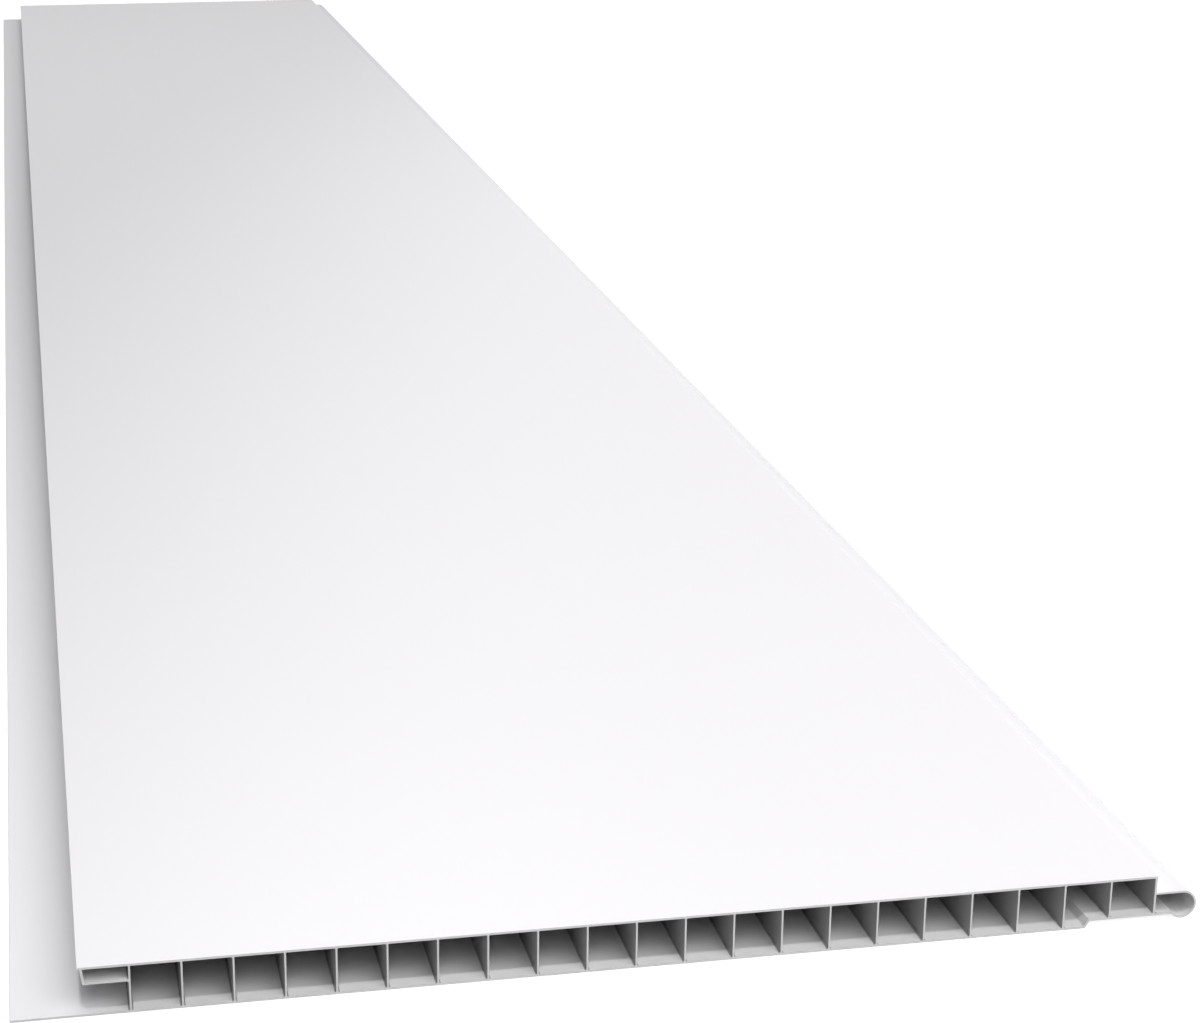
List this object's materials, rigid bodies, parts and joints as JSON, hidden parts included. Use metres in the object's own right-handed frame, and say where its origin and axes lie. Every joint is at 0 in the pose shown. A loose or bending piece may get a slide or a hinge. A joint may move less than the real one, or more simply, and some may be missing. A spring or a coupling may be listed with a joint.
{
  "type": "pvc ceiling panel",
  "caption": "Long hollow-core ceiling panel of white rigid plastic, with a plain face, a grooved edge with a nailing flange and an edge with a hollow bulb tongue.",
  "frame": {"origin": "on the plane of the back, at the middle of the panel's outer width and of its length", "axes": "+X across the panel from the nailing flange to the tongue, +Y along its length, +Z from the back to the face"},
  "size_m": [0.22, 1.4, 0.0095],
  "materials": {
    "white_pvc": "smooth white rigid plastic with a soft gloss"
  },
  "bodies": {
    "root": {"ceiling_panel": "white_pvc"}
  },
  "joints": []
}
